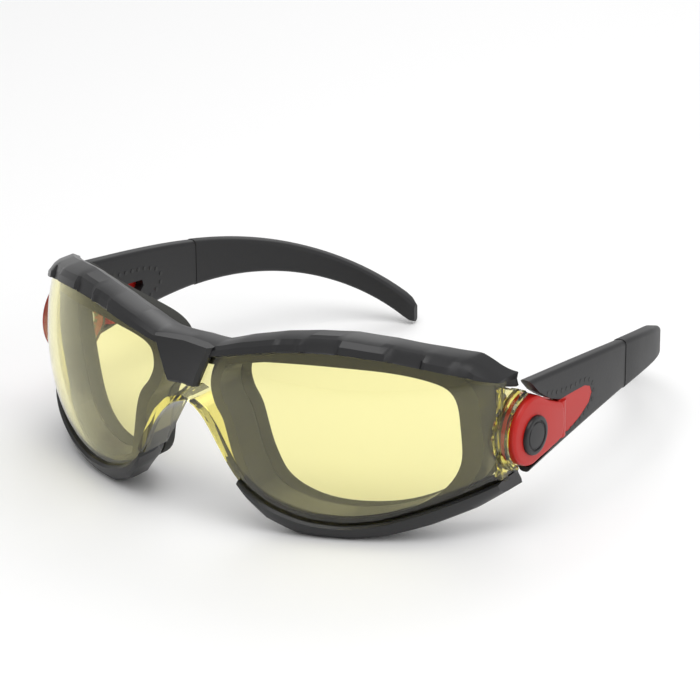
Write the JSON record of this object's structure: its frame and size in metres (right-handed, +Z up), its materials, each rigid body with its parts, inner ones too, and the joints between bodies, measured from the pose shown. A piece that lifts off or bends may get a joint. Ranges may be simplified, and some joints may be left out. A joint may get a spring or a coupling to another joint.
{
  "type": "safety glasses",
  "caption": "Sealed wraparound safety glasses with a one-piece amber lens, foam-lined black frame, and folding arms that tilt at a red pivot block.",
  "frame": {"origin": "middle of the footprint, on the surface that the open glasses stand on", "axes": "+Z up, +X towards the wearer's left, +Y back along the open arms"},
  "size_m": [0.1504, 0.1491, 0.0531],
  "materials": {
    "amber_lens": "clear amber polycarbonate, gloss",
    "black_frame": "satin black",
    "foam": "closed-cell foam",
    "red_plastic": "satin red",
    "black_button": "satin black",
    "ratchet_plastic": "acetal",
    "steel": "turned",
    "black_arm": "satin black nylon",
    "soft_grip": "matt elastomer"
  },
  "bodies": {
    "front": {"lens": "amber_lens", "gasket_frame": "black_frame", "foam_gasket_left": "foam", "foam_gasket_right": "foam"},
    "tilt_left": {"hinge_block_left": "red_plastic", "pivot_button_left": "black_button", "pivot_screw_left": "steel", "ratchet_ring_left": "ratchet_plastic"},
    "arm_left": {"hinge_pin_left": "steel", "temple_arm_left": "black_arm", "temple_inlay_left": "red_plastic", "ear_grip_left": "soft_grip"},
    "tilt_right": {"hinge_block_right": "red_plastic", "pivot_button_right": "black_button", "pivot_screw_right": "steel", "ratchet_ring_right": "ratchet_plastic"},
    "arm_right": {"hinge_pin_right": "steel", "temple_arm_right": "black_arm", "temple_inlay_right": "red_plastic", "ear_grip_right": "soft_grip"}
  },
  "joints": [
    {"name": "tilt_left", "type": "hinge", "parent": "front", "child": "tilt_left", "pos_m": [0.0706, -0.03055, 0.0252], "axis": [1, 0, 0], "range_deg": [-8, 8]},
    {"name": "fold_left", "type": "hinge", "parent": "tilt_left", "child": "arm_left", "pos_m": [0.0712, -0.01685, 0.0247], "axis": [0, 0, 1], "range_deg": [0, 70]},
    {"name": "tilt_right", "type": "hinge", "parent": "front", "child": "tilt_right", "pos_m": [-0.0706, -0.03055, 0.0252], "axis": [1, 0, 0], "range_deg": [-8, 8]},
    {"name": "fold_right", "type": "hinge", "parent": "tilt_right", "child": "arm_right", "pos_m": [-0.0712, -0.01685, 0.0247], "axis": [0, 0, -1], "range_deg": [0, 52]}
  ]
}
